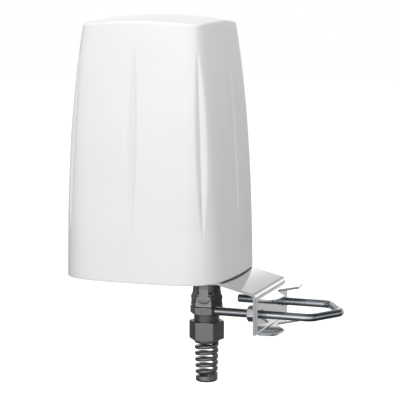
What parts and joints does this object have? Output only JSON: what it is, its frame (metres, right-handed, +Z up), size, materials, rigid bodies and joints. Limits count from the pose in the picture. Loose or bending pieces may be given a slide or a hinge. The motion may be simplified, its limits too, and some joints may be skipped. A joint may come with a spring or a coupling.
{
  "type": "omnidirectional antenna",
  "caption": "Pole-mounted omnidirectional antenna: tapered white radome over a router and antennas, with cable gland, bent steel bracket, toothed jaw and U-bolt clamp.",
  "frame": {"origin": "centre of the pole that the clamp holds, level with the U-bolt", "axes": "+Z up along the pole, +X from the radome towards the pole"},
  "size_m": [0.2526, 0.154, 0.3396],
  "materials": {
    "radome_white": "UV-stable white ASA moulding, fine satin surface",
    "base_white": "white ASA moulding, fine texture",
    "gland_black": "black moulded polyamide with a soft sheen",
    "seal_rubber": "black EPDM",
    "zinc_sheet": "zinc-plated sheet steel, satin",
    "zinc_rod": "bright zinc-plated steel rod",
    "zinc_screws": "zinc-plated steel",
    "brass": "machined brass",
    "gold_brass": "gold-flashed brass",
    "aluminium": "mill-finish sheet",
    "case_grey": "dark powder coat",
    "circuit_board": "green solder mask on glass-epoxy laminate",
    "ceramic": "fired dielectric ceramic patch",
    "coax_jacket": "black jacket of thin coaxial lead"
  },
  "bodies": {
    "housing": {"radome": "radome_white", "base_plate": "base_white", "base_gasket": "seal_rubber", "base_screws": "zinc_screws", "base_inserts": "brass", "bracket": "zinc_sheet", "bracket_bolts": "zinc_screws", "bracket_washers": "zinc_screws", "clamp_jaw": "zinc_sheet", "u_bolt_washers": "zinc_screws", "gland_adapter": "gland_black", "adapter_seal": "seal_rubber", "adapter_locknut": "gland_black", "gland_body": "gland_black", "gland_o_ring": "seal_rubber", "gland_seal": "seal_rubber", "standoffs": "brass", "standoff_screws": "zinc_screws", "ground_plane": "aluminium", "ground_screws": "zinc_screws", "tray_pillars": "brass", "pillar_screws": "zinc_screws", "upper_tray": "base_white", "tray_screws": "zinc_screws", "router_case": "case_grey", "router_cover": "case_grey", "router_board": "circuit_board", "router_cover_screws": "zinc_screws", "router_mount_screws": "zinc_screws", "ethernet_jack": "zinc_screws", "rf_jacks": "gold_brass", "rf_plugs": "gold_brass", "lte_antenna_left": "circuit_board", "lte_antenna_right": "circuit_board", "wifi_antenna_front": "circuit_board", "wifi_antenna_rear": "circuit_board", "gnss_antenna": "ceramic", "antenna_clips": "base_white", "lte_lead_left": "coax_jacket", "lte_lead_right": "coax_jacket", "wifi_lead_front": "coax_jacket", "wifi_lead_rear": "coax_jacket", "gnss_lead": "coax_jacket"},
    "u_bolt": {"u_bolt": "zinc_rod"},
    "nut_front": {"u_bolt_nut_front": "zinc_screws"},
    "nut_rear": {"u_bolt_nut_rear": "zinc_screws"},
    "gland_ring": {"slip_ring": "gland_black"},
    "dome_nut": {"dome_nut": "gland_black", "bend_spiral": "gland_black"}
  },
  "joints": [
    {"name": "u_bolt_slide", "type": "slide", "parent": "housing", "child": "u_bolt", "axis": [1, 0, 0], "range_m": [-0.027, 0.01]},
    {"name": "front_nut_turn", "type": "hinge", "parent": "housing", "child": "nut_front", "pos_m": [-0.0316, -0.03235, 0], "axis": [1, 0, 0], "range_deg": [-2880, 7776]},
    {"name": "rear_nut_turn", "type": "hinge", "parent": "housing", "child": "nut_rear", "pos_m": [-0.0316, 0.03235, 0], "axis": [1, 0, 0], "range_deg": [-2880, 7776]},
    {"name": "gland_ring_slide", "type": "slide", "parent": "housing", "child": "gland_ring", "axis": [0, 0, 1], "range_m": [0, 0.0045]},
    {"name": "dome_nut_turn", "type": "hinge", "parent": "gland_ring", "child": "dome_nut", "pos_m": [-0.09135, 0, -0.024], "axis": [0, 0, 1], "range_deg": [0, 1080]}
  ],
  "couplings": [
    {"joint": "front_nut_turn", "follows": "u_bolt_slide", "rad_per_m": -5026.5},
    {"joint": "rear_nut_turn", "follows": "u_bolt_slide", "rad_per_m": -5026.5},
    {"joint": "dome_nut_turn", "follows": "gland_ring_slide", "rad_per_m": 4188.8}
  ]
}
